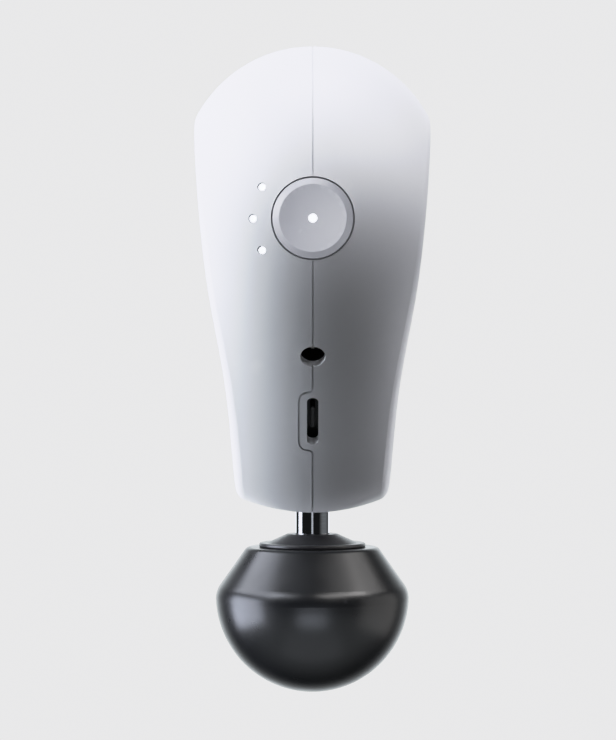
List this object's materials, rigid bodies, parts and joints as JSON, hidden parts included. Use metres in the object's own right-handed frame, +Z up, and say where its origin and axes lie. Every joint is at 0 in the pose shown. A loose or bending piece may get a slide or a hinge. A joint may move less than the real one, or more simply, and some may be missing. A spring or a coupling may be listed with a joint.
{
  "type": "massage gun",
  "caption": "Handheld percussive massage gun: crowned rounded-triangle housing with power button, charging socket and vent, and a round ball head on a short shaft.",
  "frame": {"origin": "lowest point of the ball head, on the output shaft's axis, with the head fully seated and the shaft drawn in", "axes": "+Z up along the output shaft from the head into the housing, -Y out of the button face, +X completes the right-handed frame and crosses the seam between the two shells"},
  "size_m": [0.0568, 0.136, 0.1613],
  "materials": {
    "housing_white": "fine matte white moulded plastic",
    "screw_steel": "zinc-plated screws",
    "plug_rubber": "soft pale rubber",
    "black_rubber": "black rubber",
    "chassis_alloy": "cast alloy",
    "bush_bronze": "sintered bronze",
    "bearing_steel": "ground steel",
    "stator_steel": "laminated steel",
    "copper_wire": "enamelled copper",
    "cell_sleeve": "shrink sleeve",
    "nickel": "nickel strip",
    "inner_black_plastic": "black moulded plastic",
    "board_green": "solder-masked board",
    "switch_black": "switch body",
    "chip_black": "component packages",
    "light_white": "lit light guide",
    "socket_black": "black moulded plastic",
    "contact_steel": "plated contact",
    "lead_red": "silicone insulation",
    "lead_black": "silicone insulation",
    "rotor_metal": "black-coated steel",
    "magnet_dark": "plated magnets",
    "crank_steel": "machined steel",
    "yoke_plastic": "glass-filled nylon",
    "shaft_chrome": "polished plated steel",
    "head_core_black": "black moulded plastic",
    "head_black": "satin black elastomer",
    "button_grey": "satin grey plastic",
    "spring_steel": "spring wire"
  },
  "bodies": {
    "housing": {"left_shell": "housing_white", "right_shell": "housing_white", "shell_screws": "screw_steel", "screw_plugs": "plug_rubber", "nose_seal": "black_rubber", "chassis": "chassis_alloy", "lower_bush": "bush_bronze", "upper_bush": "bush_bronze", "damper_pads": "black_rubber", "motor_base": "chassis_alloy", "motor_screws": "screw_steel", "motor_bearings": "bearing_steel", "stator_core": "stator_steel", "stator_coils": "copper_wire", "battery_cells": "cell_sleeve", "cell_strips": "nickel", "cell_holders": "inner_black_plastic", "control_bracket": "inner_black_plastic", "control_board": "board_green", "bracket_screws": "screw_steel", "button_switch": "switch_black", "board_parts": "chip_black", "light_pipes": "light_white", "charging_jack": "socket_black", "jack_pin": "contact_steel", "vent_baffle": "socket_black", "battery_leads": "lead_red", "motor_leads": "lead_black", "charge_leads": "lead_black"},
    "crank": {"rotor_can": "rotor_metal", "rotor_magnets": "magnet_dark", "motor_shaft": "bearing_steel", "crank_disc": "crank_steel", "crank_pin": "bearing_steel", "roller_clip": "screw_steel"},
    "roller": {"crank_roller": "bearing_steel"},
    "plunger": {"yoke": "yoke_plastic", "output_shaft": "shaft_chrome", "shaft_o_rings": "black_rubber"},
    "head": {"head_core": "head_core_black", "head_ball": "head_black"},
    "power_key": {"power_button": "button_grey", "button_lens": "light_white", "button_spring": "spring_steel"}
  },
  "joints": [
    {"name": "crank_turn", "type": "hinge", "parent": "housing", "child": "crank", "pos_m": [0, 0, 0.095], "axis": [0, 1, 0], "range_deg": [0, 180]},
    {"name": "roller_spin", "type": "hinge", "parent": "crank", "child": "roller", "pos_m": [0, 0, 0.101], "axis": [0, 1, 0], "continuous": true},
    {"name": "shaft_stroke", "type": "slide", "parent": "housing", "child": "plunger", "axis": [0, 0, -1], "range_m": [0, 0.012]},
    {"name": "head_pull", "type": "slide", "parent": "plunger", "child": "head", "axis": [0, 0, -1], "range_m": [0, 0.03]},
    {"name": "button_press", "type": "slide", "parent": "housing", "child": "power_key", "axis": [0, 1, 0], "range_m": [0, 0.0008], "stiffness_N_per_m": 2000, "springref_m": -0.0006, "deforming": ["button_spring"]}
  ],
  "couplings": [
    {"joint": "shaft_stroke", "follows": "crank_turn", "m_per_rad": 0.0038197}
  ]
}
